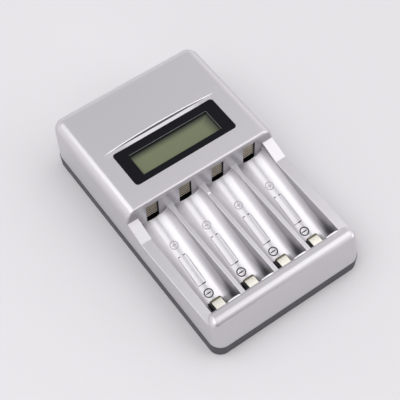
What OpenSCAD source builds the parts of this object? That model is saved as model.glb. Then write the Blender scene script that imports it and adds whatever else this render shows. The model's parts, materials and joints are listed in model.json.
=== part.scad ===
// Four-bay AA cell charger with a display in its raised head.
// Millimetres, +Z up, +X to the right, +Y towards the display.
// The origin is on the table, under the middle of the case.

/* [Case] */
// Width of the tray at the parting line
case_w = 75.5; // [75:0.5:84]
// Length of the tray at the parting line
case_l = 123.7; // [118:0.1:136]
// Overall height, to the top of the head
case_h = 28.8; // [28:0.2:34]
// Height of the parting line between tray and cover
parting_h = 6.3; // [5.8:0.1:7]
// Height of the deck round the bays
deck_h = 18.7; // [18:0.1:20]
// Length of the raised head
head_l = 60.85; // [56:0.05:66]
// Wall thickness of the cover and the tray
wall = 2; // [1.6:0.1:2.3]
// Thickness of the tray's floor
tray_floor = 2; // [1.6:0.1:2.2]
// Radius of the upright corners
corner_r = 5.5; // [5:0.1:7]
// Radius of the head's top edges
head_edge_r = 4.75; // [3.5:0.05:4.9]
// How far the cover stands inside the tray's outline
parting_step = 0.2; // [0.1:0.05:0.4]
// How far the tray's sides draw in towards the table
tray_draft = 0.3; // [0.1:0.1:1.5]
// Lean of the front face, in degrees from upright
front_lean = 13.6; // [11:0.2:15]

/* [Bays] */
// Distance between neighbouring cells
bay_pitch = 16.73; // [16.5:0.01:17.2]
// Width of one bay
bay_w = 14.6; // [14.5:0.1:15]
// Radius of the bay's rounded floor
bay_r = 8.9; // [8.2:0.1:10]
// Distance of the bays' front ends from the front of the case
front_l = 11.25; // [11:0.05:12]
// Height of the bay's floor at the head
floor_h = 15.6; // [15.2:0.1:16.2]
// Height of the bay's floor at its front end
floor_low = 4.6; // [4.3:0.1:5]
// Thickness of the bay's floor and end wall
floor_t = 1.5; // [1.2:0.1:1.6]
// Chamfer of the ledge in front of each bay
ledge_chamfer = 0.9; // [0.3:0.1:1]
// Length of the ramps that lead from the rails up to the head
ramp_l = 9.7; // [7:0.1:14]
// Rise of the ramps above the deck
ramp_h = 3.3; // [2:0.1:5]

/* [Front lip] */
// Radius of the rolled lip, which is also its rise above the deck
lip_r = 3.1; // [2.7:0.05:3.2]
// Distance of the lip's ends from the cover's sides
lip_inset = 0.8; // [0.5:0.05:3]
// How far the rear half of the lip is set forward
lip_set = 0.4; // [0.3:0.05:0.6]

/* [Display] */
// Width of the bezel
bezel_w = 51.6; // [50:0.1:54]
// Length of the bezel
bezel_l = 19.06; // [18.6:0.02:21]
// Distance of the bezel's middle behind the head's front wall
bezel_back = 19.2; // [18:0.1:21]
// Thickness of the bezel
bezel_t = 1.3; // [1:0.1:1.5]
// Corner radius of the bezel
bezel_r = 1.5; // [0.8:0.1:2.5]
// Width of the display window
window_w = 40.3; // [38:0.1:43]
// Length of the display window
window_l = 12; // [10:0.1:13.5]
// Shift of the window towards the front
window_shift = 0.4; // [0:0.1:0.8]
// Width of the display glass
lcd_w = 47; // [45:0.1:48]
// Length of the display glass
lcd_l = 16; // [15:0.1:16.6]
// Thickness of the display glass
lcd_t = 2; // [1.6:0.1:2.4]
// Number of display pins in each row
pin_n = 9; // [5:1:12]
// Width of the scoop in the head behind the bezel
scoop_w = 57.5; // [50:0.5:60]
// Depth of the scoop in its middle
scoop_depth = 0.7; // [0.4:0.05:1]
// Flat strip of the scoop next to the bezel
scoop_strip = 2.1; // [0.8:0.1:2.4]
// Slope of the scoop's back, in degrees
scoop_slope = 32; // [14:1:40]

/* [Head contacts] */
// Width of the contact slots in the head's front wall
slot_w = 6.2; // [5.8:0.1:6.8]
// Height of the contact slots above the bay's floor
slot_h = 10.6; // [9:0.1:11]
// Depth of the contact slots below the bay's floor
slot_drop = 2.2; // [1.5:0.1:2.6]
// Thickness of the wall in front of the wider pocket behind each slot
slot_face = 0.6; // [0.4:0.1:0.8]
// Width of the pocket behind each slot
pocket_w = 7.4; // [7:0.1:8]
// Width of the ribbed strip
strip_w = 5.5; // [4.6:0.1:5.6]
// Thickness of all contact strips
strip_t = 0.4; // [0.3:0.05:0.5]
// Depth of the ribbed strip behind the wall's face
strip_recess = 1.2; // [1:0.1:1.4]
// Height of the strip's lower end above the bay's floor
strip_gap = 1.1; // [0.6:0.1:1.8]
// Number of ribs pressed into the strip
rib_n = 6; // [4:1:7]
// Radius of the ribs
rib_r = 0.5; // [0.3:0.05:0.6]
// Width of the strip's flange behind the wall
flange_w = 10.8; // [10.6:0.1:12]
// Height of the strip's flange
flange_h = 3.4; // [2.5:0.1:4.5]
// Width of the tails that go through the board
tail_w = 1.6; // [1.2:0.1:1.8]

/* [Sliding contacts] */
// Travel of a sliding contact towards the front
travel = 6; // [5:0.1:6.3]
// Distance of the contact's face from the bay's front end
contact_out = 8; // [7.8:0.1:8.4]
// Width of the contact's cap
contact_w = 4.7; // [4:0.1:5]
// Height of the contact's cap
contact_h = 10.6; // [10:0.1:11]
// Outer bend radius of the cap
bend_r = 1.2; // [0.8:0.05:1.4]
// Width of the plastic slider
slider_w = 5.4; // [5.1:0.1:5.8]
// Length of the plastic slider
slider_l = 7.2; // [6.8:0.1:7.6]
// Clearance between the slider and its slot, each side
slider_gap = 0.4; // [0.3:0.05:0.5]
// Width of the slider's foot
foot_w = 7.8; // [7.2:0.1:8.2]
// Length of the slider's foot
foot_l = 3.1; // [2:0.1:3.2]
// Thickness of the slider's foot
foot_t = 0.8; // [0.6:0.05:0.9]
// Running gap above and below the foot
foot_gap = 0.3; // [0.25:0.05:0.35]
// Depth of the spring's bore in the slider
bore_depth = 5.2; // [4.6:0.1:5.6]
// Outer diameter of the spring
spring_d = 3.2; // [2.8:0.1:3.6]
// Wire diameter of the spring
spring_wire = 0.4; // [0.3:0.05:0.5]
// Turns of the spring
spring_turns = 7; // [5:1:9]
// Gap between the spring and the wall of its bore
spring_gap = 0.2; // [0.15:0.05:0.3]

/* [Board] */
// Height of the board's underside
board_z = 8.6; // [8.2:0.1:9]
// Thickness of the board
board_t = 1.6; // [1:0.1:1.6]
// Gap between the board and the side walls
board_gap = 4.5; // [3:0.1:6]
// Distance of the board's rear edge from the rear wall
board_back = 7.5; // [7:0.1:10]
// Diameter of the plug hole in the rear wall
inlet_d = 8.4; // [7.6:0.1:9.5]
// Diameter of the inlet's socket
socket_d = 6.4; // [5.6:0.1:6.6]
// Diameter of the inlet's centre pin
socket_pin_d = 2; // [1.6:0.1:2.4]
// Height of the inlet's axis above the board
inlet_rise = 6.5; // [6:0.1:7]
// Width of the controller's package
chip_w = 10; // [6:0.5:14]
// Length of the controller's package
chip_l = 7.5; // [5:0.5:8]
// Diameter of the inductor's drum
drum_d = 10; // [8:0.5:11]
// Height of the inductor's drum
drum_h = 8; // [6:0.5:10]
// Diameter of the capacitors
can_d = 8; // [6.3:0.1:8.5]
// Height of the capacitors
can_h = 11.5; // [9:0.5:12]
// Width of the power transistors
package_w = 6.6; // [5:0.1:7]
// Length of the power transistors
package_l = 3.6; // [3:0.1:4]

/* [Screws] */
// Diameter of the case screws' shanks
screw_d = 2.2; // [2:0.1:2.6]
// Diameter of the case screws' heads
screw_head_d = 4.4; // [4:0.1:4.8]
// Height of the case screws' heads
screw_head_h = 1.7; // [1.2:0.1:1.8]
// Diameter of the screw bosses
boss_d = 5.2; // [4.8:0.1:5.6]
// Height of the screws' seat in the tray
seat_h = 3.4; // [3:0.1:3.6]
// Thread length of the case screws
screw_l = 9; // [7:0.5:11]
// Diameter of the board screws' shanks
board_screw_d = 1.8; // [1.6:0.1:2.2]

/* [Hidden] */
$fn = 64;

bay_n = 4;
far = 60;
bite = 0.5;
fit_gap = 0.15;
thread_gap = 0.05;

// Outline of the cover and its front face
cover_w = case_w - 2 * parting_step;
cover_l = case_l - 2 * parting_step;
cover_front = -cover_l / 2;
inner_w = cover_w - 2 * wall;
inner_rear = cover_l / 2 - wall;
head_front = case_l / 2 - head_l;
head_back = head_front + wall;
lean_wall = wall / cos(front_lean);
function front_y(z) = cover_front + (z - parting_h) * tan(front_lean);

// A circle of this radius, at this height, that touches the front face from inside
function behind_front(z, r) = front_y(z) + r / cos(front_lean);

lip_y = behind_front(deck_h, lip_r);
lip_reach = cover_w / 2 - lip_inset - lip_r;
lip_core = lip_r - wall;

// Bays
function bay_x(i) = (i - (bay_n + 1) / 2) * bay_pitch;
bay_end = front_l - case_l / 2;
bay_l = head_front - bay_end;
floor_tilt = atan((floor_h - floor_low) / bay_l);
bays_half = bay_x(bay_n) + bay_w / 2;
function floor_z(y) = floor_h - (head_front - y) * tan(floor_tilt);

// Head contacts
slot_z = floor_h - slot_drop;
slot_lead = 0.3;
strip_y = head_front + strip_recess;
strip_z = floor_h + strip_gap;
strip_top = floor_h + slot_h - bite;
tail_x = flange_w / 2 - tail_w / 2;

// Sliding contacts
contact_y = bay_end + contact_out;
slider_y = contact_y - strip_t;
slider_front = slider_y - slider_l;
slider_z = tray_floor + foot_gap;
slider_top = contact_h - strip_t;
tunnel_w = slider_w + 2 * slider_gap;
tunnel_rear = contact_y + 0.7;
tunnel_h = contact_h + 0.6;
spring_z = slider_z + 4;
bus_h = spring_z + 2.4;
bus_wall_t = 1;
bus_y = slider_front - travel - 1.1;
spring_rear = slider_front + bore_depth;
spring_front = bus_y;
bus_half = bay_x(bay_n) + 2.2;
bus_tail_h = 3.2;

// Screws and bosses
tube_d = screw_head_d + 1.8;
tube_gap = 0.3;
boss_x = bay_x(bay_n) + slider_w / 2 + slider_gap + tube_d / 2;
boss_front = bay_end - floor_t - tube_gap - tube_d / 2;
boss_rear = inner_rear - boss_d / 2 - 1;
boss_z = seat_h + 1.6;
pilot_top = boss_z + screw_l;
boss_top = pilot_top + 1;
shank_r = screw_d / 2;
boss_places = [[-boss_x, boss_front], [boss_x, boss_front], [-boss_x, boss_rear], [boss_x, boss_rear]];

// Board and what stands on it
board_w = inner_w - 2 * board_gap;
board_front = head_front;
board_rear = inner_rear - board_back;
board_top = board_z + board_t;
board_screw_x = board_w / 2 - 4;
board_screw_ys = [board_front + 9, board_rear - 4];
post_d = 5;
inlet_z = board_top + inlet_rise;
inlet_body = [9, 13, 11];

// Display
bezel_y = head_front + bezel_back;
bezel_z = case_h - bezel_t;
lcd_z = bezel_z - 0.2 - lcd_t;
lcd_mouth = 0.4;
holder_t = 1.4;
pin_t = 0.5;
pin_row = lcd_l / 2 - 0.8;
pin_step = 4;

// A flat rounded rectangle about the origin
module rounded_rect(w, l, r) {
    square([w - 2 * r, l], center = true);
    square([w, l - 2 * r], center = true);
    for (x = [-1, 1], y = [-1, 1]) translate([x * (w / 2 - r), y * (l / 2 - r)]) circle(r);
}

// A block w by l by h with round upright corners of radius r.
// Its child is the edge's section, drawn from the corner's axis outwards.
module edged_block(w, l, h, r) {
    run_x = w - 2 * r;
    run_y = l - 2 * r;
    translate([-run_x / 2, -run_y / 2, 0]) cube([run_x, run_y, h]);
    for (turn = [0, 180]) rotate(turn) {
        translate([run_x / 2, run_y / 2, 0]) rotate([90, 0, 0]) linear_extrude(run_y) children();
        translate([-run_x / 2, run_y / 2, 0]) rotate([90, 0, 90]) linear_extrude(run_x) children();
        translate([run_x / 2, run_y / 2, 0]) rotate_extrude(angle = 90) children();
        translate([-run_x / 2, run_y / 2, 0]) rotate(90) rotate_extrude(angle = 90) children();
    }
}

// Edge section with a rounded top
module rounded_edge(r, h, edge_r) {
    square([r, h - edge_r]);
    square([r - edge_r, h]);
    translate([r - edge_r, h - edge_r]) intersection() {
        circle(edge_r);
        square(edge_r);
    }
}

// Upright block of the head: round edges at the sides and the rear, flat at the front
module head_form(w, l, foot, top, r, edge_r, front) {
    intersection() {
        translate([0, 0, foot]) edged_block(w, l, top - foot, r) rounded_edge(r, top - foot, edge_r);
        translate([-far, front, 0]) cube([2 * far, 2 * far, far]);
    }
}

// Low part of the cover before its deck is cut: a leaning front that runs up into the lip's ball ends
module low_block() {
    side = cover_w / 2;
    hull() for (s = [-1, 1]) {
        translate([s * (side - corner_r), cover_front + corner_r, parting_h])
            cylinder(r = corner_r, h = bite, $fn = 48);
        translate([s * lip_reach, lip_y, deck_h]) sphere(lip_r, $fn = 48);
        translate([s * side - (s + 1) / 2 * bite, head_front + wall / 2 - bite, parting_h])
            cube([bite, bite, deck_h + lip_r + 1 - parting_h]);
    }
}

// Rear half of the rolled lip, with ball ends
module lip() {
    translate([0, lip_y - lip_set, deck_h]) {
        translate([-lip_reach, 0, 0]) rotate([0, 90, 0]) cylinder(r = lip_r, h = 2 * lip_reach);
        for (s = [-1, 1]) translate([s * lip_reach, 0, 0]) sphere(lip_r);
    }
}

// Ramps that lead from the rails up to the head's front wall
module ramps() {
    for (x = [-far, bays_half]) translate([x, 0, 0]) rotate([90, 0, 90]) linear_extrude(far - bays_half) polygon([
        [head_front - ramp_l, deck_h],
        [head_front, deck_h + ramp_h],
        [far, deck_h + ramp_h],
        [far, deck_h - 1],
        [head_front - ramp_l, deck_h - 1]
    ]);
}

// Low part of the cover: the block cut down to its deck behind the lip, round the ramps
module low_form() {
    difference() {
        low_block();
        difference() {
            translate([-far, lip_y - lip_set - 0.1, deck_h]) cube(2 * far);
            lip();
            ramps();
        }
    }
}

// Section of a bay across its slope: a round floor between upright sides, grown by a wall
module bay_section(half_w, grow) {
    intersection() {
        union() {
            translate([0, bay_r]) circle(bay_r + grow);
            translate([-bay_r - grow, bay_r]) square([2 * (bay_r + grow), far]);
        }
        translate([-half_w, -grow]) square([2 * half_w, far]);
    }
}

// Side view of the space between two upright planes and below z_top, with a ledge chamfered at the deck
function between(rear, front, z_top, ledge) = ledge > 0
    ? [[rear, 0], [rear, z_top], [front - ledge, z_top], [front - ledge, deck_h], [front, deck_h - ledge], [front, 0]]
    : [[rear, 0], [rear, z_top], [front, z_top], [front, 0]];

// A bay's section carried down its slope inside that space
module bay_run(i, half_w, grow, rear, front, z_top, ledge) {
    intersection() {
        translate([bay_x(i), head_front, floor_h]) rotate([90 + floor_tilt, 0, 0])
            translate([0, 0, -far / 2]) linear_extrude(2 * far) bay_section(half_w, grow);
        translate([bay_x(i) - bay_pitch, 0, 0]) rotate([90, 0, 90]) linear_extrude(2 * bay_pitch)
            polygon(between(rear, front, z_top, ledge));
    }
}

// Hollow inside the low part of the cover
module low_hollow() {
    top = deck_h - wall;
    rotate([90, 0, 90]) translate([0, 0, -inner_w / 2]) linear_extrude(inner_w) polygon([
        [head_back + 1, parting_h - 1],
        [head_back + 1, top],
        [lip_y + lip_core, top],
        [lip_y + lip_core, deck_h],
        [front_y(deck_h) + lean_wall, deck_h],
        [front_y(parting_h) + lean_wall, parting_h],
        [front_y(parting_h) + lean_wall, parting_h - 1]
    ]);
}

// Opening in the head's top: a seat for the bezel, and a mouth for the display glass below it
module display_opening() {
    translate([0, bezel_y, bezel_z]) linear_extrude(far)
        rounded_rect(bezel_w + 2 * fit_gap, bezel_l + 2 * fit_gap, bezel_r + fit_gap);
    translate([-lcd_w / 2 - lcd_mouth, bezel_y - lcd_l / 2 - lcd_mouth, case_h - 2 * wall])
        cube([lcd_w + 2 * lcd_mouth, lcd_l + 2 * lcd_mouth, far]);
}

// Shallow lens-shaped scoop behind the bezel: a level strip, then a back that rises to the rear.
// It is what two very large cylinders have in common.
module scoop() {
    scoop_r = scoop_w * scoop_w / (8 * scoop_depth);
    strip_end = bezel_y + bezel_l / 2 + scoop_strip;
    translate([0, strip_end, case_h - scoop_depth]) intersection() {
        translate([0, -scoop_strip - 1, scoop_r]) rotate([-90, 0, 0])
            cylinder(r = scoop_r, h = 20, $fn = 720);
        rotate([scoop_slope, 0, 0]) translate([0, -far, scoop_r]) rotate([-90, 0, 0])
            cylinder(r = scoop_r, h = 2 * far, $fn = 720);
    }
}

// Cut for a head contact: a narrow mouth in the wall's face, and a wider pocket behind it
module contact_slot() {
    height = slot_drop + slot_h;
    translate([-slot_w / 2, -slot_lead, 0]) cube([slot_w, slot_lead + wall, height]);
    translate([-pocket_w / 2, slot_face, 0]) cube([pocket_w, wall + 1 - slot_face, height]);
}

// Bosses that the case screws bite into
module cover_bosses() {
    for (i = [0:3]) translate([boss_places[i][0], boss_places[i][1], boss_z])
        cylinder(d = boss_d, h = (i < 2 ? boss_top : case_h - wall + bite) - boss_z);
}

module top_case() {
    color("silver") difference() {
        union() {
            difference() {
                union() {
                    head_form(cover_w, cover_l, parting_h, case_h, corner_r, head_edge_r, head_front);
                    low_form();
                }
                head_form(inner_w, cover_l - 2 * wall, parting_h - 1, case_h - wall,
                    corner_r - wall, head_edge_r - wall, head_back);
                low_hollow();
            }
            for (i = [1:bay_n])
                bay_run(i, bay_pitch / 2 + 0.05, floor_t, head_back, bay_end - floor_t, deck_h - bite, 0);
            cover_bosses();
        }
        for (i = [1:bay_n]) {
            bay_run(i, bay_w / 2, 0, head_front, bay_end, far, ledge_chamfer);
            translate([bay_x(i), head_front, slot_z]) contact_slot();
            translate([bay_x(i) - tunnel_w / 2, bay_end - floor_t - 1, 0])
                cube([tunnel_w, tunnel_rear - bay_end + floor_t + 1, tunnel_h]);
            translate([bay_x(i) - foot_w / 2 - slider_gap, bay_end - floor_t - 1, 0])
                cube([foot_w + 2 * slider_gap, slider_y - bay_end + floor_t + 1 + slider_gap, slider_z + foot_t + foot_gap]);
        }
        for (p = boss_places) translate([p[0], p[1], boss_z - 1])
            cylinder(r = shank_r + thread_gap, h = pilot_top - boss_z + 1);
        display_opening();
        scoop();
        translate([0, inner_rear - 1, inlet_z]) rotate([-90, 0, 0]) cylinder(d = inlet_d, h = wall + 2);
    }
}

module bottom_case() {
    hollow_w = case_w - 2 * wall - 2 * parting_step;
    hollow_l = case_l - 2 * wall - 2 * parting_step;
    color("dimgray") difference() {
        union() {
            difference() {
                edged_block(case_w, case_l, parting_h, corner_r)
                    polygon([[0, 0], [corner_r - tray_draft, 0], [corner_r, parting_h], [0, parting_h]]);
                translate([0, 0, tray_floor]) linear_extrude(far)
                    rounded_rect(hollow_w, hollow_l, corner_r - wall);
            }
            for (p = boss_places) translate([p[0], p[1], 0.2])
                cylinder(d = tube_d, h = boss_z - 0.2);
            for (x = [-1, 1], y = board_screw_ys) translate([x * board_screw_x, y, tray_floor - bite])
                cylinder(d = post_d, h = board_z - tray_floor + bite);
            translate([-bus_half, bus_y - strip_t - bus_wall_t, tray_floor - bite])
                cube([2 * bus_half, bus_wall_t, bus_h - tray_floor + bite]);
        }
        for (p = boss_places) translate([p[0], p[1], -1]) {
            cylinder(r = shank_r + fit_gap, h = far);
            cylinder(d = screw_head_d + 2 * fit_gap, h = seat_h + 1);
        }
        for (x = [-1, 1], y = board_screw_ys) translate([x * board_screw_x, y, tray_floor])
            cylinder(r = board_screw_d / 2 + thread_gap, h = far);
    }
}

module display_bezel() {
    color("#1e1e22") translate([0, bezel_y, bezel_z]) difference() {
        linear_extrude(bezel_t) rounded_rect(bezel_w, bezel_l, bezel_r);
        translate([-window_w / 2, -window_l / 2 - window_shift, -1]) cube([window_w, window_l, far]);
    }
}

module lcd_panel() {
    color("#737c62") translate([-lcd_w / 2, bezel_y - lcd_l / 2, lcd_z]) cube([lcd_w, lcd_l, lcd_t]);
}

// Open frame on four legs that holds the display glass up to the bezel
module lcd_holder() {
    foot = board_top;
    height = lcd_z - foot;
    color("white") translate([0, bezel_y, foot]) difference() {
        translate([-lcd_w / 2, -lcd_l / 2 + holder_t, 0]) cube([lcd_w, lcd_l - 2 * holder_t, height]);
        translate([-lcd_w / 2 + holder_t, -lcd_l / 2 + 2 * holder_t, -1])
            cube([lcd_w - 2 * holder_t, lcd_l - 4 * holder_t, far]);
        translate([-lcd_w / 2 + 3 * holder_t, -lcd_l, -1]) cube([lcd_w - 6 * holder_t, 2 * lcd_l, height - 1]);
    }
}

module lcd_pins() {
    color("lightgray") for (k = [1:pin_n], s = [-1, 1])
        translate([(k - (pin_n + 1) / 2) * pin_step - pin_t / 2, bezel_y + s * pin_row - pin_t / 2, board_z - 0.8])
            cube([pin_t, pin_t, lcd_z - board_z + 0.8]);
}

// Places of the board's slots for strip tails, the bus tab and the display pins
module board_holes() {
    for (i = [1:bay_n]) translate([bay_x(i) + tail_x, head_back + strip_t / 2, board_z])
        cube([tail_w + 2 * fit_gap, strip_t + 2 * fit_gap, far], center = true);
    translate([0, head_back + 4, board_z]) cube([strip_t + 2 * fit_gap, tail_w + 2 * fit_gap, far], center = true);
    for (k = [1:pin_n], s = [-1, 1])
        translate([(k - (pin_n + 1) / 2) * pin_step, bezel_y + s * pin_row, board_z])
            cube([pin_t + 2 * fit_gap, pin_t + 2 * fit_gap, far], center = true);
    for (x = [-1, 1], y = board_screw_ys) translate([x * board_screw_x, y, 0])
        cylinder(r = board_screw_d / 2 + fit_gap, h = far);
}

module main_board() {
    color("darkgreen") difference() {
        translate([-board_w / 2, board_front, board_z]) cube([board_w, board_rear - board_front, board_t]);
        board_holes();
    }
}

module controller_chip() {
    chip_h = 1.8;
    color("#202020") translate([-chip_w / 2, bezel_y - chip_l / 2, board_top]) cube([chip_w, chip_l, chip_h]);
}

// Wound drum core
module inductor() {
    drum_r = drum_d / 2;
    rim = 1.2;
    color("#7a4a2a") translate([-board_w / 4, board_rear - drum_r - 2, board_top]) {
        cylinder(r = drum_r, h = rim);
        cylinder(r = drum_r - 1, h = drum_h);
        translate([0, 0, drum_h - rim]) cylinder(r = drum_r, h = rim);
    }
}

// Two capacitors side by side between the inlet and the board's screw
module capacitors() {
    bead = 0.2;
    step = can_d + 1;
    first = inlet_body[0] / 2 + can_d / 2 + 1.5;
    color("#2d3350") for (k = [0, 1]) translate([first + k * step, board_rear - can_d / 2 - 1, board_top]) {
        cylinder(d = can_d, h = can_h);
        cylinder(d = can_d + 2 * bead, h = 1);
    }
}

module power_transistors() {
    package_h = 2.3;
    color("#202020") for (i = [1:bay_n])
        translate([bay_x(i) - package_w / 2, head_back + strip_t + 0.6, board_top])
            cube([package_w, package_l, package_h]);
}

// Nickel strip with pressed ribs, hung from a flange behind the wall, with a tail through the board
module positive_contact(i) {
    rib_step = (strip_top - strip_z - 2 * rib_r) / rib_n;
    flange_z = strip_top - flange_h;
    tail_z = board_z - 0.8;
    color("#d8d2c0") translate([bay_x(i), 0, 0]) {
        translate([-strip_w / 2, strip_y, strip_z]) cube([strip_w, strip_t, strip_top - strip_z]);
        for (k = [1:rib_n]) translate([-strip_w / 2, strip_y, strip_z + rib_r + (k - 0.5) * rib_step])
            rotate([0, 90, 0]) cylinder(r = rib_r, h = strip_w);
        translate([-strip_w / 2, strip_y, strip_top - strip_t]) cube([strip_w, head_back + strip_t - strip_y, strip_t]);
        translate([-flange_w / 2, head_back, flange_z]) cube([flange_w, strip_t, flange_h]);
        translate([tail_x - tail_w / 2, head_back, tail_z]) cube([tail_w, strip_t, flange_z - tail_z + bite]);
    }
}

// Nickel cap bent over the slider's top and rear face
module negative_contact(i) {
    low = floor_z(contact_y) - 1.4;
    color("#e4dcc0") translate([bay_x(i) - contact_w / 2, 0, 0]) rotate([90, 0, 90]) linear_extrude(contact_w)
        difference() {
            union() {
                translate([slider_front + 1, slider_top - bend_r]) square([contact_y - slider_front - 1 - bend_r, bend_r + strip_t]);
                translate([contact_y - bend_r - strip_t, low]) square([bend_r + strip_t, contact_h - bend_r - low]);
                translate([contact_y - bend_r, contact_h - bend_r]) circle(bend_r);
            }
            translate([slider_front, low - 1]) square([slider_l - bend_r + strip_t, slider_top - low + 1]);
            translate([slider_front, low - 1]) square([slider_l, slider_top - bend_r + strip_t - low + 1]);
            translate([contact_y - bend_r, contact_h - bend_r]) circle(bend_r - strip_t);
        }
}

// Plastic block that carries the cap, with a foot under the bay's floor and a bore for the spring
module contact_slider(i) {
    inner_r = bend_r - strip_t;
    color("#18181a") translate([bay_x(i), 0, 0]) difference() {
        union() {
            translate([-slider_w / 2, slider_front, slider_z])
                cube([slider_w, slider_l, slider_top - inner_r - slider_z]);
            translate([-slider_w / 2, slider_front, slider_top - 2 * inner_r])
                cube([slider_w, slider_l - inner_r, 2 * inner_r]);
            translate([-slider_w / 2, slider_y - inner_r, slider_top - inner_r])
                rotate([0, 90, 0]) cylinder(r = inner_r, h = slider_w);
            translate([-foot_w / 2, slider_y - foot_l, slider_z]) cube([foot_w, foot_l, foot_t]);
        }
        translate([0, slider_front - 1, spring_z]) rotate([-90, 0, 0])
            cylinder(d = spring_d + 2 * spring_gap, h = bore_depth + 1);
    }
}

// Coil of round wire along Y between two ends, as one sweep
module contact_spring(i) {
    sides = 6;
    steps = 12 * spring_turns;
    coil_r = (spring_d - spring_wire) / 2;
    start = spring_front + spring_wire / 2;
    run = spring_rear - spring_front - spring_wire;
    points = [
        for (s = [0:steps], k = [0:sides - 1])
            let (turn = 360 * spring_turns * s / steps, about = 360 * k / sides,
                r = coil_r + spring_wire / 2 * cos(about))
            [r * cos(turn), start + run * s / steps + spring_wire / 2 * sin(about), r * sin(turn)]
    ];
    sleeve = [
        for (s = [0:steps - 1], k = [0:sides - 1], half = [0, 1])
            let (a = s * sides + k, b = s * sides + (k + 1) % sides)
            half == 0 ? [a, b, b + sides] : [a, b + sides, a + sides]
    ];
    first = [for (k = [sides - 1:-1:0]) k];
    last = [for (k = [0:sides - 1]) steps * sides + k];
    color("gainsboro") translate([bay_x(i), 0, spring_z]) polyhedron(points, concat([first], sleeve, [last]));
}

// Stamped strip that the springs press on, with a tail that runs back under the bays to the board
module negative_bus() {
    tab_y = head_back + 4;
    color("#d8d2c0") {
        translate([-bus_half, bus_y - strip_t, tray_floor]) cube([2 * bus_half, strip_t, bus_h - tray_floor]);
        translate([-strip_t / 2, bus_y - strip_t, tray_floor])
            cube([strip_t, tab_y + tail_w / 2 - bus_y + strip_t, bus_tail_h]);
        translate([-strip_t / 2, tab_y - tail_w / 2, tray_floor]) cube([strip_t, tail_w, board_top + 0.8 - tray_floor]);
    }
}

// Barrel inlet on the board's rear edge, with its snout in the rear wall
module power_inlet() {
    snout_end = cover_l / 2 - 0.4;
    body_rear = inner_rear - 0.3;
    color("#18181a") difference() {
        union() {
            translate([-inlet_body[0] / 2, body_rear - inlet_body[1], board_top]) cube(inlet_body);
            translate([0, body_rear - 1, inlet_z]) rotate([-90, 0, 0])
                cylinder(d = inlet_d - 2 * fit_gap, h = snout_end - body_rear + 1);
        }
        translate([0, body_rear - 9, inlet_z]) rotate([-90, 0, 0]) difference() {
            cylinder(d = socket_d, h = far);
            cylinder(d = socket_pin_d, h = 9 + snout_end - body_rear - 1);
        }
    }
}

// One screw: a flat round head below a plain shank
module screw(shank, head_d, head_h, length) {
    translate([0, 0, -head_h]) cylinder(d = head_d, h = head_h);
    translate([0, 0, -bite]) cylinder(d = shank, h = length + bite);
}

module case_screws() {
    color("gray") for (p = boss_places) translate([p[0], p[1], seat_h])
        screw(screw_d, screw_head_d, screw_head_h, boss_z - seat_h + screw_l - 1.5);
}

module board_screws() {
    color("gray") for (x = [-1, 1], y = board_screw_ys) translate([x * board_screw_x, y, board_top])
        mirror([0, 0, 1]) screw(board_screw_d, 2 * board_screw_d, 1.2, board_top - tray_floor - 0.6);
}

top_case();
bottom_case();
display_bezel();
lcd_panel();
lcd_holder();
lcd_pins();
main_board();
controller_chip();
inductor();
capacitors();
power_transistors();
for (i = [1:bay_n]) {
    positive_contact(i);
    negative_contact(i);
    contact_slider(i);
    contact_spring(i);
}
negative_bus();
power_inlet();
case_screws();
board_screws();
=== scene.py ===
"""AA cell charger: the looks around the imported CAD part.

The file follows the charger as it is put together: the table it lies on, the tray, the board,
the sprung contacts, the cover with its bays, the head contacts, the display and the screws.
The charger's sizes are in millimetres until they go into a mesh or a node, and the room's are in metres.
"""

import json
import math

import bmesh
import bpy
import numpy as np
from mathutils import Matrix


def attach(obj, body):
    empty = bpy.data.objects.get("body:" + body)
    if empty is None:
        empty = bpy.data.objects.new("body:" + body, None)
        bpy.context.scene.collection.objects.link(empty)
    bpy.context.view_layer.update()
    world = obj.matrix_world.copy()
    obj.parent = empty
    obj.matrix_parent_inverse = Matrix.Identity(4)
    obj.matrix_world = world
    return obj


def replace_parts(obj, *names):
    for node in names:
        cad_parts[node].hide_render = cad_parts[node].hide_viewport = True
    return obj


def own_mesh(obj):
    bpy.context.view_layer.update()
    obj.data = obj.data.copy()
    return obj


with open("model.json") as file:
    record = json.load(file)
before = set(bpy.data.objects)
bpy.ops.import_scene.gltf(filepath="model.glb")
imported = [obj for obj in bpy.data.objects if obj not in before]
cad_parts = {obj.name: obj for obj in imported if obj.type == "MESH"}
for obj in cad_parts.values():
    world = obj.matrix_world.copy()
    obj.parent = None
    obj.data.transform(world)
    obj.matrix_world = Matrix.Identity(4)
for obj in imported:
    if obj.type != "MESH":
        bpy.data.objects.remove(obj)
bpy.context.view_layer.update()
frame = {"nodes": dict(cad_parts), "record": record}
MM = 0.001
scene = bpy.context.scene


# The table, the light and the camera
# A pale laminate table in a white tent whose walls are brighter than its roof. Two soft boxes hang
# above, the wider one on the left. The tent is open and dim low in front, beside a bright right flap.


def srgb(hex_code):
    """Linear RGBA of an sRGB hex colour."""
    c = np.array([int(hex_code[i : i + 2], 16) for i in (1, 3, 5)]) / 255
    lin = np.where(c <= 0.04045, c / 12.92, ((c + 0.055) / 1.055) ** 2.4)
    return (*lin.tolist(), 1.0)


def add_node(tree, kind, settings=None, sockets=None):
    """Adds one shader node.

    settings are its properties. sockets fill its inputs, by name or number, with a constant
    or with another node's output.
    """
    node = tree.nodes.new(kind)
    for key, value in (settings or {}).items():
        setattr(node, key, value)
    for key, value in (sockets or {}).items():
        if isinstance(value, bpy.types.NodeSocket):
            tree.links.new(value, node.inputs[key])
        else:
            node.inputs[key].default_value = value
    return node


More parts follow.
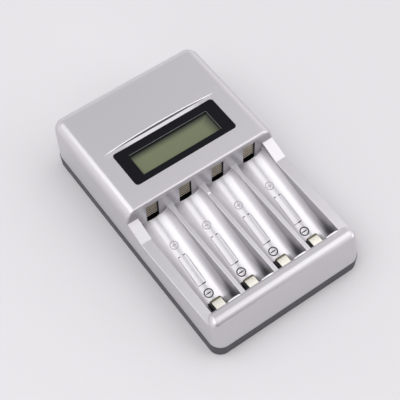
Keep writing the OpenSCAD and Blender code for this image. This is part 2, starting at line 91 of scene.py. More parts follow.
def finish_of(name, colour, rough, metal=0.0, **sockets):
    """A plain material: one Principled shader with its constants on its own sockets."""
    m = bpy.data.materials.new(name)
    m.use_nodes = True
    bsdf = m.node_tree.nodes["Principled BSDF"]
    bsdf.inputs["Base Color"].default_value = srgb(colour)
    bsdf.inputs["Roughness"].default_value = rough
    bsdf.inputs["Metallic"].default_value = metal
    for key, value in sockets.items():
        bsdf.inputs[key.replace("_", " ")].default_value = value
    return m


def new_piece(name, mesh, material):
    """An object at the origin that shows this mesh in this material."""
    mesh.materials.clear()
    mesh.materials.append(material)
    o = bpy.data.objects.new(name, mesh)
    scene.collection.objects.link(o)
    return o


# Matt laminate: no mirror image, only soft shadows.
laminate = finish_of("pale laminate", "#D0CFD1", 0.7)
table_half = 3.0
table_corners = [(x * table_half, y * table_half, 0) for x, y in ((-1, -1), (1, -1), (1, 1), (-1, 1))]
table_mesh = bpy.data.meshes.new("table_top")
table_mesh.from_pydata(table_corners, [], [(0, 1, 2, 3)])
new_piece("table_top", table_mesh, laminate)

# The tent's brightness in a direction (x, y, z) is (horizon - roof_loss z + side_gain x^2 z), times
# the front's share: 0 in the opening, 1 elsewhere, and flap_gain more on the flap. The limits of the opening
# and of the flap are parts of that direction.
horizon, roof_loss, side_gain, flap_gain = 1.25, 0.85, 1.25, 1.3
opening_end, opening_gone = -0.96, -0.7
flap_left, flap_full, flap_rear, flap_front = 0.38, 0.43, -0.35, -0.6
times, times_plus, larger = ({"operation": name} for name in ("MULTIPLY", "MULTIPLY_ADD", "MAXIMUM"))
soft_step = {"interpolation_type": "SMOOTHSTEP"}
world = bpy.data.worlds.new("studio")
scene.world = world
world.use_nodes = True
room = world.node_tree
sky = room.nodes["Background"]
sky.inputs["Color"].default_value = srgb("#F2F0F2")
facing = add_node(room, "ShaderNodeTexCoord")
compass = add_node(room, "ShaderNodeSeparateXYZ", sockets={"Vector": facing.outputs["Generated"]}).outputs
roof = add_node(room, "ShaderNodeMath", times_plus, {0: compass["Z"], 1: -roof_loss, 2: horizon})
aside = add_node(room, "ShaderNodeMath", {"operation": "POWER"}, {0: compass["X"], 1: 2.0})
upper = add_node(room, "ShaderNodeMath", times, {0: aside.outputs[0], 1: compass["Z"]})
walls = add_node(room, "ShaderNodeMath", times_plus, {0: upper.outputs[0], 1: side_gain, 2: roof.outputs[0]})
past_opening = add_node(
    room,
    "ShaderNodeMapRange",
    soft_step,
    {"Value": compass["Y"], "From Min": opening_end, "From Max": opening_gone},
)
beside = add_node(
    room, "ShaderNodeMapRange", soft_step, {"Value": compass["X"], "From Min": flap_left, "From Max": flap_full}
)
before = add_node(
    room,
    "ShaderNodeMapRange",
    soft_step,
    {"Value": compass["Y"], "From Min": flap_rear, "From Max": flap_front},
)
flap = add_node(room, "ShaderNodeMath", times, {0: beside.outputs["Result"], 1: before.outputs["Result"]})
lit = add_node(room, "ShaderNodeMath", larger, {0: past_opening.outputs["Result"], 1: flap.outputs[0]})
front = add_node(room, "ShaderNodeMath", times_plus, {0: flap.outputs[0], 1: flap_gain, 2: lit.outputs[0]})
strength = add_node(room, "ShaderNodeMath", times, {0: walls.outputs[0], 1: front.outputs[0]})
room.links.new(strength.outputs[0], sky.inputs["Strength"])
scene.view_settings.view_transform = "Standard"


def soft_box(name, place, width, length, watts):
    """A rectangular area light at place that shines straight down."""
    light = bpy.data.lights.new(name, "AREA")
    light.shape = "RECTANGLE"
    light.size, light.size_y, light.energy = width, length, watts
    o = bpy.data.objects.new(name, light)
    o.location = place
    scene.collection.objects.link(o)


soft_box("left_box", (-0.5, 0.045, 0.95), 0.93, 1.43, 6.4)
soft_box("right_box", (0.475, -0.17, 0.95), 0.61, 1.0, 2.55)

camera = bpy.data.cameras.new("camera")
camera.sensor_width, camera.lens, camera.clip_start = 36, 98.007, 0.01
camera_object = bpy.data.objects.new("camera", camera)
camera_place = (-0.1439, -0.2129, 0.4038)
right, up, ahead = (0.8132, -0.5816, -0.0210), (0.4975, 0.6759, 0.5439), (0.3021, 0.4527, -0.8389)
turn = Matrix([right, up, [-a for a in ahead]]).transposed().to_4x4()
camera_object.matrix_world = Matrix.Translation(camera_place) @ turn
scene.collection.objects.link(camera_object)
scene.camera = camera_object


# The tray
# The lower half of the case, injection moulded in dark grey ABS with a fine spark-eroded grain.
# It is screwed to the cover from below.

body_of = {n: b for b, members in frame["record"]["behaviour"]["bodies"].items() for n in members}
# Edges that bend less than flat are melted away. Corners closer than loose are merged, and one within on_cut
# of a cut lies on it, both in metres. A place within touch of a level is on it.
crease, flat = math.radians(14), math.radians(0.3)
loose, on_cut, touch = 2e-6, 1e-6, 0.01


def joins(o, node):
    """The piece moves with the node's body."""
    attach(o, body_of[node])
    return o


def stands_for(o, node):
    """The piece moves with the node's body, and hides the node."""
    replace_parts(joins(o, node), node)
    return o


def shell_of(node, material, *rounds, cuts=()):
    """A copy of a CAD node with its loose triangles joined.

    It is smooth inside each CAD face and creased where two faces meet at more than 14 degrees.
    Each of rounds is (radius in mm, picks): picks(a, b) takes the end points of the creased edges in mm
    and says which of them get that moulded radius. cuts are places along Y where long edges are split,
    so that a radius keeps its size between them and runs out towards the ends.
    """
    bm = bmesh.new()
    bm.from_mesh(frame["nodes"][node].data)
    for e in bm.edges:
        e.seam = e.is_boundary
    bmesh.ops.remove_doubles(bm, verts=bm.verts, dist=loose)
    bmesh.ops.dissolve_limit(bm, angle_limit=flat, verts=bm.verts, edges=bm.edges, delimit={"SEAM"})
    for cut in cuts:
        everything = [*bm.verts, *bm.edges, *bm.faces]
        bmesh.ops.bisect_plane(bm, geom=everything, dist=on_cut, plane_co=(0, cut * MM, 0), plane_no=(0, 1, 0))
    for e in bm.edges:
        e.smooth = not (e.seam and e.calc_face_angle(0) > crease)
    for radius, picks in rounds:
        creased = [e for e in bm.edges if not e.smooth]
        ends = np.array([[v.co for v in e.verts] for e in creased]).reshape(-1, 2, 3) / MM
        rounded = [e for e, use in zip(creased, picks(ends[:, 0], ends[:, 1])) if use]
        for e in rounded:
            e.smooth = True
        bmesh.ops.bevel(
            bm,
            geom=rounded,
            offset=radius * MM,
            offset_type="OFFSET",
            segments=3,
            profile=0.5,
            affect="EDGES",
            clamp_overlap=False,
        )
    for f in bm.faces:
        f.smooth = True
    mesh = bpy.data.meshes.new(node + "_shell")
    bm.to_mesh(mesh)
    bm.free()
    if "custom_normal" in mesh.attributes:
        mesh.attributes.remove(mesh.attributes["custom_normal"])
    o = new_piece(node + "_shell", mesh, material)
    flats = o.modifiers.new("flats_stay_flat", "WEIGHTED_NORMAL")
    flats.keep_sharp = True
    return stands_for(o, node)


def paint_node(node, material):
    """A CAD node keeps its shape and gets this material."""
    mesh = frame["nodes"][node].data
    mesh.materials.clear()
    mesh.materials.append(material)


def at_height(z, *levels):
    """Which heights lie on one of these levels."""
    return np.any([np.abs(z - level) < touch for level in levels], axis=0)


def grain(material, size, depth):
    """A fine even grain in the surface: noise of this size, raised by this depth, both in mm.

    A real mould's grain, about 0.05 mm, is too fine to show here, so most are drawn coarser.
    """
    tree = material.node_tree
    place = add_node(tree, "ShaderNodeTexCoord")
    noise = add_node(
        tree,
        "ShaderNodeTexNoise",
        sockets={"Vector": place.outputs["Object"], "Scale": 1 / (size * MM), "Detail": 2.0},
    )
    bump = add_node(
        tree,
        "ShaderNodeBump",
        sockets={"Strength": 0.6, "Distance": depth * MM, "Height": noise.outputs["Fac"]},
    )
    tree.links.new(bump.outputs["Normal"], tree.nodes["Principled BSDF"].inputs["Normal"])
    return material


# The eroded grain scatters the light, so the tray looks dull and a little paler at its edges.
grey_abs = grain(finish_of("dark grey ABS, moulded", "#414044", 0.55), 0.35, 0.02)
tray_top, tray_radius = 6.3, 0.15
tray_side, tray_end, tray_corner = 36.5, 60.6, 94


def tray_rims(a, b):
    """The tray's outer edges, at the table and at the parting line."""
    x, y = np.abs(a[:, 0]), np.abs(a[:, 1])
    outside = (x > tray_side) | (y > tray_end) | (x + y > tray_corner)
    return at_height(a[:, 2], 0, tray_top) & at_height(b[:, 2], 0, tray_top) & outside


shell_of("bottom_case", grey_abs, (tray_radius, tray_rims))

# The board and what stands on it
# A green glass-fibre board on four posts, with a controller, a drum inductor, two capacitors
# and four power transistors. It is hidden inside the closed case.

# The resist is a glossy lacquer over the weave of the glass cloth, about 0.6 mm.
paint_node("main_board", grain(finish_of("green solder resist", "#123522", 0.4), 0.6, 0.01))
# Moulded epoxy is dull, with a fine filler.
epoxy = grain(finish_of("black epoxy, moulded", "#1A1A1B", 0.6), 0.2, 0.01)
for part in ("controller_chip", "power_transistors"):
    paint_node(part, epoxy)
# Sintered ferrite and enamelled wire read together as a rough brown.
paint_node("inductor", grain(finish_of("ferrite and copper wire", "#6B4226", 0.5), 0.3, 0.02))
# Shrunk film is smooth and a little wavy.
paint_node("capacitors", grain(finish_of("blue shrink sleeve", "#2B3354", 0.4), 0.8, 0.01))
# Plain moulded plastics, satin from the mould.
paint_node("lcd_holder", grain(finish_of("white ABS, moulded", "#E4E3DF", 0.5), 0.3, 0.01))
paint_node("power_inlet", grain(finish_of("black nylon, moulded", "#1B1B1D", 0.5), 0.25, 0.01))
# Dipped tin is bright but soft.
paint_node("lcd_pins", grain(finish_of("tinned brass", "#C9C7C1", 0.35, 1.0), 0.3, 0.004))

# The sprung contacts
# Each bay has a black acetal slider under its floor with a bent cap of bright nickel on top.
# A coil spring between the slider and a stamped bus strip pushes it back.


def axes_of(tree):
    """The place on a piece as three sockets, in metres along X, Y and Z."""
    place = add_node(tree, "ShaderNodeTexCoord")
    return add_node(tree, "ShaderNodeSeparateXYZ", sockets={"Vector": place.outputs["Object"]}).outputs


blend = {"data_type": "RGBA"}


def tone_along(material, axis, start, end, first, last, settings=None):
    """The colour goes from first at start to last at end, two places in mm along an axis."""
    tree = material.node_tree
    share = add_node(
        tree,
        "ShaderNodeMapRange",
        settings,
        {"Value": axes_of(tree)[axis], "From Min": start * MM, "From Max": end * MM},
    )
    tone = add_node(tree, "ShaderNodeMix", blend, {0: share.outputs["Result"], 6: srgb(first), 7: srgb(last)})
    tree.links.new(tone.outputs[2], tree.nodes["Principled BSDF"].inputs["Base Color"])


# Acetal is waxy: black with a broad weak sheen.
acetal = grain(finish_of("black acetal, moulded", "#0F0F10", 0.5), 0.25, 0.01)
# Bright nickel mirrors the room with a warm tint; its bend is painted darker, as painted shade where it turns
# from the lights.
cap_bright, cap_bend_shade = "#D5D2C8", "#7F7B66"
cap_nickel = grain(finish_of("bright nickel on steel", cap_bright, 0.25, 1.0), 0.5, 0.0004)
bend_start, bend_end = -44.3, -43.75
tone_along(cap_nickel, "Y", bend_start, bend_end, cap_bright, cap_bend_shade)
# Rolled strip and drawn wire: grey metal with a soft gloss.
strip_nickel = grain(finish_of("dull nickel on steel", "#B4AE9F", 0.3, 1.0), 0.4, 0.004)
wire_steel = grain(finish_of("spring steel wire", "#8E8E90", 0.3, 1.0), 0.3, 0.004)

spring_front, spring_rear, spring_height = -57.27, -45.03, 6.3
spring_length = spring_rear - spring_front
coil_radius, wire_radius, turns = 1.4, 0.2, 7
bay_pitch, travel, cap_radius = 16.73, 6.0, 0.1
bays = {bay: (bay - 2.5) * bay_pitch for bay in range(1, 5)}


def grid_faces(rows, columns, closed=False):
    """Quads of a rows by columns grid of points; closed joins the last row to the first."""
    i, j = np.meshgrid(np.arange(rows if closed else rows - 1), np.arange(columns - 1), indexing="ij")
    k = (i + 1) % rows
    quads = [i * columns + j, k * columns + j, k * columns + j + 1, i * columns + j + 1]
    return np.stack(quads, axis=-1).reshape(-1, 4)


def mesh_of(name, *sheets):
    """One smooth mesh from (points in mm, faces) sheets."""
    starts = np.cumsum([0] + [points.size // 3 for points, faces in sheets])
    mesh = bpy.data.meshes.new(name)
    mesh.from_pydata(
        np.concatenate([points.reshape(-1, 3) for points, faces in sheets]) * MM,
        [],
        np.concatenate([faces + start for start, (points, faces) in zip(starts, sheets)]),
    )
    mesh.polygons.foreach_set("use_smooth", np.ones(len(mesh.polygons), dtype=bool))
    return mesh


def coil(x):
    """A round wire on a helix along Y.

    The helix is (R cos t, p t, R sin t) about the bay's middle; the first and last turn lie flat
    against their seats, so the pitch p eases in and out over one turn.
    """
    t = np.linspace(0, 2 * math.pi * turns, 32 * turns + 1)
    share = t / t[-1]
    eased = np.clip((share - 1 / turns) / (1 - 2 / turns), 0, 1)
    inner_length = spring_length - 2 * wire_radius
    lead = 2 * wire_radius / inner_length
    first, last = np.clip(share * turns, 0, 1), np.clip((share - 1) * turns + 1, 0, 1)
    y = spring_front + wire_radius + inner_length * (lead * first + (1 - 2 * lead) * eased + lead * last)
    about = np.linspace(0, 2 * math.pi, 13)
    r = coil_radius + wire_radius * np.cos(about)
    points = np.stack(
        [
            x + np.outer(np.cos(t), r),
            y[:, None] + wire_radius * np.sin(about),
            spring_height + np.outer(np.sin(t), r),
        ],
        axis=-1,
    )
    return points, grid_faces(*points.shape[:2])[:, ::-1]


def cap_rims(a, b):
    """The edges of a cap that run across its bay."""
    return np.abs(a[:, 0] - b[:, 0]) < touch


paint_node("negative_bus", strip_nickel)
for bay, middle in bays.items():
    paint_node(f"contact_slider_{bay}", acetal)
    shell_of(f"negative_contact_{bay}", cap_nickel, (cap_radius, cap_rims))
    name = f"contact_spring_{bay}"
    spring = stands_for(new_piece(f"{name}_coil", mesh_of(f"{name}_coil", coil(middle)), wire_steel), name)
    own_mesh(spring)

# The cover
# The upper half of the case, injection moulded in ABS and sprayed with a silver paint. Shade is painted
# into it on the head's front wall, in its corner with the bays and low in the bays, and highlights on the bays'
# front edges.

# Aluminium flake lies flat in the lacquer, so the paint mirrors the room as a soft blur. The real flake is
# about 0.03 mm across: its grain is drawn coarser, so that it shows.
silver_tone, painted_shade_tone, edge_highlight_tone = "#CAC8CC", "#7C7B7F", "#F6F4F6"
silver_metal = 0.75
silver = grain(finish_of("silver paint on ABS", silver_tone, 0.32, silver_metal), 0.4, 0.012)
head_front, head_top, deck, ramp_rise, ramp_run = 1.0, 28.8, 18.7, 3.3, 9.7
bay_front, rim_drop = -50.6, 0.9

# Where shade is painted, and where a highlight is painted on the bays' front edges, in mm: across from a bay's
# middle, along Y and in height. The front wall gets only wall_share of the corners' painted shade. hair and
# margin keep a limit off a face.
wall_share, hair, margin = 0.3, 0.02, 0.05
over_bays = (-2 * bay_pitch, 2 * bay_pitch)
low_across, low_along, low_height = (5.9, 7.0), (-36, -45), (17, 12)
corner_across, corner_along, corner_height = (2.6, 3.6), (0.35, 0.93), (10, deck - margin)
wall_along, wall_height = (head_front - 0.04, head_front + 0.04), (head_top - 1, head_top - 2.5)
edge_highlight_across, edge_highlight_along = (1.6, 3.0), (bay_front - rim_drop, bay_front + 0.03)
edge_highlight_height = (deck - rim_drop - hair, deck - 0.03)


def patch(tree, within, fades):
    """A patch of the surface as a mask, with its limits in mm.

    It is 1 where each coordinate of within lies between its low and its high limit, times a smooth step
    from 0 at start to 1 at end for each coordinate of fades.
    """
    shares = []
    for source, (low, high) in within:
        limits = {0: source, 1: (low + high) / 2 * MM, 2: (high - low) / 2 * MM}
        shares.append(add_node(tree, "ShaderNodeMath", {"operation": "COMPARE"}, limits).outputs[0])
    for source, (start, end) in fades:
        step = {"Value": source, "From Min": start * MM, "From Max": end * MM}
        shares.append(add_node(tree, "ShaderNodeMapRange", soft_step, step).outputs["Result"])
    mask = shares[0]
    for share in shares[1:]:
        mask = add_node(tree, "ShaderNodeMath", times, {0: mask, 1: share}).outputs[0]
    return mask


tree = silver.node_tree
sideways, rearward, upward = axes_of(tree)
pitches = add_node(tree, "ShaderNodeMath", times, {0: sideways, 1: 1 / (bay_pitch * MM)})
in_bay = add_node(tree, "ShaderNodeMath", {"operation": "FRACT"}, {0: pitches.outputs[0]})
from_middle = add_node(
    tree, "ShaderNodeMath", times_plus, {0: in_bay.outputs[0], 1: bay_pitch * MM, 2: -bay_pitch / 2 * MM}
).outputs[0]
low_corner = patch(
    tree, [(rearward, (bay_front, 0))], [(from_middle, low_across), (rearward, low_along), (upward, low_height)]
)
head_corner = patch(
    tree,
    [(sideways, over_bays), (rearward, corner_along), (upward, corner_height)],
    [(from_middle, corner_across)],
)
front_wall = patch(tree, [(rearward, wall_along)], [(upward, wall_height)])
bay_edge = patch(
    tree, [(sideways, over_bays), (rearward, edge_highlight_along), (upward, edge_highlight_height)], [(from_middle, edge_highlight_across)]
)
# The silver is darkened as painted shade in the low corners of the bays, in the head's corner and on its front
# wall.
wall_and_low_shade = add_node(tree, "ShaderNodeMath", times_plus, {0: front_wall, 1: wall_share, 2: low_corner})
shaded = add_node(tree, "ShaderNodeMath", larger, {0: wall_and_low_shade.outputs[0], 1: head_corner})
silver_with_shade = add_node(
    tree, "ShaderNodeMix", blend, {0: shaded.outputs[0], 6: srgb(silver_tone), 7: srgb(painted_shade_tone)}
)
# The bays' front edges are painted pale and less metallic, as a painted highlight.
tone = add_node(tree, "ShaderNodeMix", blend, {0: bay_edge, 6: silver_with_shade.outputs[2], 7: srgb(edge_highlight_tone)})
flake = add_node(tree, "ShaderNodeMath", times_plus, {0: bay_edge, 1: -silver_metal, 2: silver_metal})
tree.links.new(tone.outputs[2], tree.nodes["Principled BSDF"].inputs["Base Color"])
tree.links.new(flake.outputs[0], tree.nodes["Principled BSDF"].inputs["Metallic"])

slot_half, head_radius, rim_radius, divider_rear = 3.1, 1.1, 0.3, -2.7
rim_cuts = (-4, -9.5, -49.5)


def off_middle(x):
    """How far places along X are from the middle of their bay, in mm."""
    return np.abs((x / bay_pitch) % 1 - 0.5) * bay_pitch


def head_outline(a, b):
    """The edges of the head's front wall above the ramps, but not the mouths of the contact slots."""
    m = (a + b) / 2
    face = (np.abs(a[:, 1] - head_front) < touch) & (np.abs(b[:, 1] - head_front) < touch)
    off_slot = (off_middle(m[:, 0]) > slot_half + margin) | (m[:, 2] > head_top - 2 * margin)
    return face & (m[:, 2] > deck + ramp_rise + margin) & off_slot


def bay_rims(a, b):
    """The straight rims of the bays and the rails' outer edges, on the sides only in front of the ramps."""
    rear = np.where(np.abs(a[:, 0]) < 1.6 * bay_pitch, divider_rear, head_front - ramp_run - 0.2)
    straight = np.abs(a[:, 0] - b[:, 0]) < 0.03 * np.abs(a[:, 1] - b[:, 1])
    return at_height(a[:, 2], deck) & at_height(b[:, 2], deck) & straight & (a[:, 1] + b[:, 1] < 2 * rear)


cover = shell_of("top_case", silver, (head_radius, head_outline), (rim_radius, bay_rims), cuts=rim_cuts)

# The lip's rear half is fuller than a circle: at a share r of its height it reaches lip_rear (1 - r^3)^(1/3)
# behind its middle, where a circle reaches lip_radius (1 - r^2)^(1/2). At its ends it turns round a corner.
lip_middle, lip_radius, lip_reach, lip_rear = -55.86, 3.1, 33.65, 4.15
places = np.empty(3 * len(cover.data.vertices))
cover.data.vertices.foreach_get("co", places)
x, y, z = places.reshape(-1, 3).T / MM
behind = np.clip(y - lip_middle, touch, lip_radius)
turned = behind / np.hypot(np.maximum(np.abs(x) - lip_reach, 0), behind)
rise = np.clip((z - deck) / lip_radius, 0, 0.999)
fuller = lip_rear * (1 - rise**3) ** (1 / 3) / (lip_radius * np.sqrt(1 - rise**2)) - 1
on_lip = (z > deck - 2 * margin) & (y > lip_middle + hair) & (y < lip_middle + lip_radius + hair)
y = np.where(on_lip, y + behind * fuller * turned**2, y)
cover.data.vertices.foreach_set("co", (np.stack([x, y, z], axis=-1) * MM).ravel())

# A shallow scoop runs behind the display. Its steep rear wall is painted dark at the foot as painted shade,
# and bright at the edge as a painted highlight.
scoop_foot, scoop_edge, scoop_front, scoop_rear = 28.52, 28.78, 31.3, 33.6
scoop_floor, scoop_reach, leaning = 27.9, 1.5, 0.3
scoop_wall_shade_and_highlight = grain(
    finish_of("silver paint, painted shade and highlight on the scoop wall", silver_tone, 0.4, silver_metal), 0.3, 0.005
)
tone_along(scoop_wall_shade_and_highlight, "Z", scoop_foot, scoop_edge, "#4E4D52", "#FFFFFF", soft_step)

# The scoop's floor is painted paler than the head, most at its low part, as a painted highlight.
scoop_highlight_top, scoop_highlight_depth = 28.5, 28.25
scoop_floor_highlight = grain(finish_of("silver paint, painted highlight on the scoop floor", silver_tone, 0.32, 0.65), 0.3, 0.005)
tone_along(scoop_floor_highlight, "Z", scoop_highlight_top, scoop_highlight_depth, silver_tone, "#ECEAEE", soft_step)

# The slots' sides are painted near black, as painted shade deep in the narrow slots.
slot_depth, slot_foot, slot_top = 1.58, 14, 26.3
slot_shade = grain(finish_of("painted shade inside the slots", "#1C1917", 0.6), 0.3, 0.02)
for finish in (scoop_wall_shade_and_highlight, scoop_floor_highlight, slot_shade):
    cover.data.materials.append(finish)
count = len(cover.data.polygons)
middles, facings = np.empty(3 * count), np.empty(3 * count)
cover.data.polygons.foreach_get("center", middles)
cover.data.polygons.foreach_get("normal", facings)
(x, y, z), facings = middles.reshape(-1, 3).T / MM, facings.reshape(-1, 3)
scoop = (y > scoop_front - scoop_reach) & (y < scoop_rear) & (z > scoop_floor) & (z < head_top - hair)
scoop &= facings[:, 2] > leaning
wall = scoop & (y > scoop_front) & (facings[:, 1] < -leaning)
slot_side = (y > head_front + hair) & (y < slot_depth) & (z > slot_foot) & (z < slot_top)
slot_side &= off_middle(x) < slot_half + margin
finish_index = np.select([wall, scoop, slot_side], [1, 2, 3], 0)
cover.data.polygons.foreach_set("material_index", finish_index.astype(np.int32))

# The bays' front rims
# The right half of each bay ends in a low rolled rim that is moulded with the cover.
# It is painted nearly white, as a painted highlight.

# Nearly white and half metallic: a painted highlight where the rim catches the lights.
rim_highlight = grain(finish_of("silver paint, painted highlight on a rim", "#F8F6F8", 0.3, 0.5), 0.3, 0.005)
rim_start, rim_end, rim_place, rim_half, rim_height = 0.9, 6.9, -50.9, 0.65, 0.45
rim_foot, rim_slope = deck - 0.85, 0.35


def rolled_rim(middle):
    """A half ellipse across Y, carried along X.

    It swells from its ends as sin^0.2 of its share of the length, and climbs to the right.
    """
    share, about = np.meshgrid(np.linspace(0, 1, 25), np.linspace(0, math.pi, 9), indexing="ij")
    full = np.sin(math.pi * share) ** 0.2
    points = np.stack(
        [
            middle + rim_start + (rim_end - rim_start) * share,
            rim_place - rim_half * np.cos(about) * full,
            rim_foot + rim_slope * share + rim_height * np.sin(about) * full,
        ],
        axis=-1,
    )
    return points, grid_faces(*share.shape)


for bay, middle in bays.items():
    joins(new_piece(f"bay_rim_{bay}", mesh_of(f"bay_rim_{bay}", rolled_rim(middle)), rim_highlight), "top_case")

# The marks in the bays
# Raised in the mould at the bottom of each bay: a plus in a ring, the outline of a cell with its button,
# and a minus in a ring. Some lines, most of all at the front, are painted dark as painted shade on their steep
# sides.

floor_rear, floor_front, bay_length, bay_radius = 15.6, 4.6, 51.6, 8.9
tilt = math.atan((floor_rear - floor_front) / bay_length)
fine, bold, bead_height, sunk = 0.42, 0.56, 0.2, 0.02


def on_floor(bay, down, across, lift):
    """Places on a bay's floor, in mm.

    down runs along the slope from the head, across from the bay's middle, and lift along the floor's normal.
    The floor is a cylinder of radius R, so h = R - sqrt(R^2 - across^2) is its height above its lowest line.
    """
    nearer = 1 - lift / bay_radius
    h = bay_radius - np.sqrt(bay_radius**2 - across**2) * nearer
    x = bays[bay] + across * nearer
    y = head_front - down * math.cos(tilt) - h * math.sin(tilt)
    z = floor_rear - down * math.sin(tilt) + h * math.cos(tilt)
    return np.stack([x, y, z], axis=-1)


def bead(bay, down, across, closed, width):
    """A raised line of this width along a path on the floor: a half ellipse carried along it.

    At open ends it thins out as sin^0.25 of its share of the length.
    """
    path = np.stack([down, across], axis=-1)
    step = np.roll(path, -1, 0) - np.roll(path, 1, 0) if closed else np.gradient(path, axis=0)
    step = step / np.linalg.norm(step, axis=1, keepdims=True)
    about = np.linspace(0, math.pi, 9)
    swell = np.ones(len(path)) if closed else np.sin(np.linspace(0, math.pi, len(path))) ** 0.25
    out = np.outer(swell, np.cos(about))
    d = path[:, :1] - step[:, 1:] * out * width / 2
    a = path[:, 1:] + step[:, :1] * out * width / 2
    lift = np.broadcast_to(bead_height * np.sin(about), d.shape) - sunk
    return on_floor(bay, d, a, lift), grid_faces(len(path), len(about), closed)


def stroke(bay, start, end, width=fine):
    """A straight raised line between two (down, across) places."""
    share = np.linspace(0, 1, 25)[:, None]
    d, a = ((1 - share) * np.array(start) + share * np.array(end)).T
    return bead(bay, d, a, False, width)


def ring(bay, down, across, radius, width=fine):
    """A raised ring."""
    turn = np.linspace(0, 2 * math.pi, 48, endpoint=False)
    return bead(bay, down + radius * np.cos(turn), across + radius * np.sin(turn), True, width)


# The pale lines differ from the floor only by their own light and shade; the others are painted dark, as
# painted shade.
pale_relief = grain(finish_of("silver paint on a raised line", "#B4B2B7", 0.4, 0.6), 0.3, 0.005)
dark_relief_shade = grain(finish_of("painted shade on a raised line", "#434247", 0.45, 0.3), 0.3, 0.005)
across = 0.3
plus_down, plus_radius, plus_half = 14.95, 1.75, 1.05
minus_down, minus_radius, minus_half = 40.0, 1.85, 1.35
cell_left, cell_right, cell_top, cell_foot, button_half = -1.75, 2.25, 20.6, 35.4, 0.6
cell_middle, cell_corner = (cell_left + cell_right) / 2, 0.2
for bay in bays:
    pale = [
        ring(bay, plus_down, across, plus_radius),
        stroke(bay, (plus_down - plus_half, across), (plus_down + plus_half, across)),
        stroke(bay, (plus_down, across - plus_half), (plus_down, across + plus_half)),
        stroke(bay, (cell_top, cell_left), (cell_foot, cell_left)),
        stroke(bay, (cell_top, cell_right), (cell_foot, cell_right)),
        stroke(bay, (cell_foot, cell_left), (cell_foot, cell_middle)),
    ]
    shaded_lines = [
        stroke(bay, (cell_top, cell_left + cell_corner), (cell_top, cell_middle - button_half)),
        stroke(bay, (cell_top, cell_middle + button_half), (cell_top, cell_right - cell_corner)),
        stroke(bay, (cell_foot, cell_middle), (cell_foot, cell_right), bold),
        ring(bay, minus_down, across, minus_radius, bold),
        stroke(bay, (minus_down, across - minus_half), (minus_down, across + minus_half), bold),
    ]
    for name, sheets, finish in (("bay_marks", pale, pale_relief), ("worn_marks", shaded_lines, dark_relief_shade)):
        joins(new_piece(f"{name}_{bay}", mesh_of(f"{name}_{bay}", *sheets), finish), "top_case")

# The pip on the middle divider
# A small raised dot that is moulded with the cover, near the head.
# It is painted paler than the divider, as a painted highlight.

# Nearly white silver: a painted highlight on the dot.
pip_highlight = grain(finish_of("silver paint, painted highlight on a small dome", "#EFEDF0", 0.3, 0.6), 0.3, 0.005)
pip_x, pip_y, pip_half_x, pip_half_y, pip_rise = -0.18, -4.45, 0.85, 0.65, 0.55
# Half an ellipsoid on the deck: about goes round it, and climb from its rim to its top.
about = np.linspace(0, 2 * math.pi, 32, endpoint=False)
climb = np.linspace(0, math.pi / 2, 8)
pip_points = np.stack(
    [
        pip_x + pip_half_x * np.outer(np.cos(about), np.cos(climb)),
        pip_y + pip_half_y * np.outer(np.sin(about), np.cos(climb)),
        np.broadcast_to(deck - sunk + pip_rise * np.sin(climb), (len(about), len(climb))),
    ],
    axis=-1,
)
pip_faces = grid_faces(len(about), len(climb), True)
joins(new_piece("divider_pip", mesh_of("divider_pip", (pip_points, pip_faces)), pip_highlight), "top_case")

# The head contacts
# Ribbed strips of nickel-plated spring steel that touch the cells' caps. They are pressed from sheet
# and stand in slots of the head's front wall.

# Nickel, painted brighter on its ribs as a highlight and darker in the grooves between them as painted shade.
rib_highlight, groove_shade = "#E4DCCA", "#4A4338"
rib_front, rib_root = 1.73, 1.9
rib_light_and_shade = grain(finish_of("nickel, painted highlight on its ribs and shade between", rib_highlight, 0.28, 1.0), 0.3, 0.003)
tone_along(rib_light_and_shade, "Y", rib_front, rib_root, rib_highlight, groove_shade)
for bay in bays:
    paint_node(f"positive_contact_{bay}", rib_light_and_shade)

# The display
# A grey-green reflective display glass below a clear acrylic window, whose cut edges show at the rear
# and on the right. A flat black bezel is pressed into the head around it.

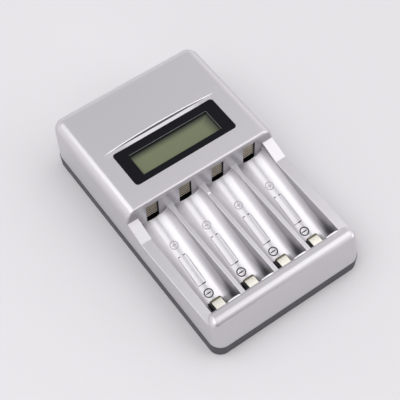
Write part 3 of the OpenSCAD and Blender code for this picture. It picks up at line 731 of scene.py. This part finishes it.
# The glass lies deep, so it darkens towards the rear and the right, where the bezel shades it.
glass_open, glass_shaded = "#666D52", "#252823"
window_right, window_front, window_rear = 20.15, 13.8, 25.8
rear_from, rear_to = window_rear - 4.2, window_rear - 0.1
right_from, right_to = window_right - 6, window_right + 1.5
display_glass = grain(finish_of("reflective display glass", glass_open, 0.25), 0.15, 0.001)
tree = display_glass.node_tree
axes = axes_of(tree)
rear_shade = add_node(
    tree,
    "ShaderNodeMapRange",
    soft_step,
    {"Value": axes["Y"], "From Min": rear_from * MM, "From Max": rear_to * MM},
)
right_shade = add_node(
    tree,
    "ShaderNodeMapRange",
    soft_step,
    {"Value": axes["X"], "From Min": right_from * MM, "From Max": right_to * MM},
)
shade = add_node(
    tree, "ShaderNodeMath", larger, {0: rear_shade.outputs["Result"], 1: right_shade.outputs["Result"]}
)
tone = add_node(
    tree, "ShaderNodeMix", blend, {0: shade.outputs[0], 6: srgb(glass_open), 7: srgb(glass_shaded)}
)
tree.links.new(tone.outputs[2], tree.nodes["Principled BSDF"].inputs["Base Color"])
paint_node("lcd_panel", display_glass)

# Black ABS from an etched mould: deep black, with hardly a gleam.
black_abs = grain(finish_of("black ABS, moulded", "#0C0C12", 0.35, Specular_IOR_Level=0.12), 0.25, 0.005)
bezel_radius = 0.2


def bezel_rims(a, b):
    """The bezel's upper edges, outside and round the window."""
    return at_height(a[:, 2], head_top) & at_height(b[:, 2], head_top)


shell_of("display_bezel", black_abs, (bezel_radius, bezel_rims))


def rod(start, end, radius):
    """A round rod between two places in mm, without end faces: a circle carried along a straight line."""
    start, end = np.array(start), np.array(end)
    ahead = (end - start) / np.linalg.norm(end - start)
    first = np.cross(ahead, [0, 0, 1])
    second = np.cross(ahead, first)
    about = np.linspace(0, 2 * math.pi, 17)[:, None]
    round_it = radius * (np.cos(about) * first + np.sin(about) * second)
    points = np.stack([start + round_it, end + round_it])
    return points, grid_faces(2, len(about))


# A sawn acrylic edge gathers light, so it shows as a thin grey line.
cut_acrylic = finish_of("clear acrylic, cut edge", "#6C6D72", 0.3)
edge_height, edge_radius = 28.3, 0.13
edge_x, edge_y = window_right - edge_radius, window_rear - edge_radius
edge_mesh = mesh_of(
    "window_edge",
    rod((-edge_x, edge_y, edge_height), (edge_x, edge_y, edge_height), edge_radius),
    rod((edge_x, edge_y, edge_height), (edge_x, window_front, edge_height), edge_radius),
)
joins(new_piece("window_edge", edge_mesh, cut_acrylic), "display_bezel")

# The screws
# Zinc-plated self-tapping screws with pan heads.
# Four go through the tray into the cover, and four through the board.

# Tumbled zinc is a grey metal with a fine unevenness.
zinc = grain(finish_of("zinc plate on steel", "#9C9C9C", 0.35, 1.0), 0.3, 0.01)
for part in ("case_screws", "board_screws"):
    paint_node(part, zinc)
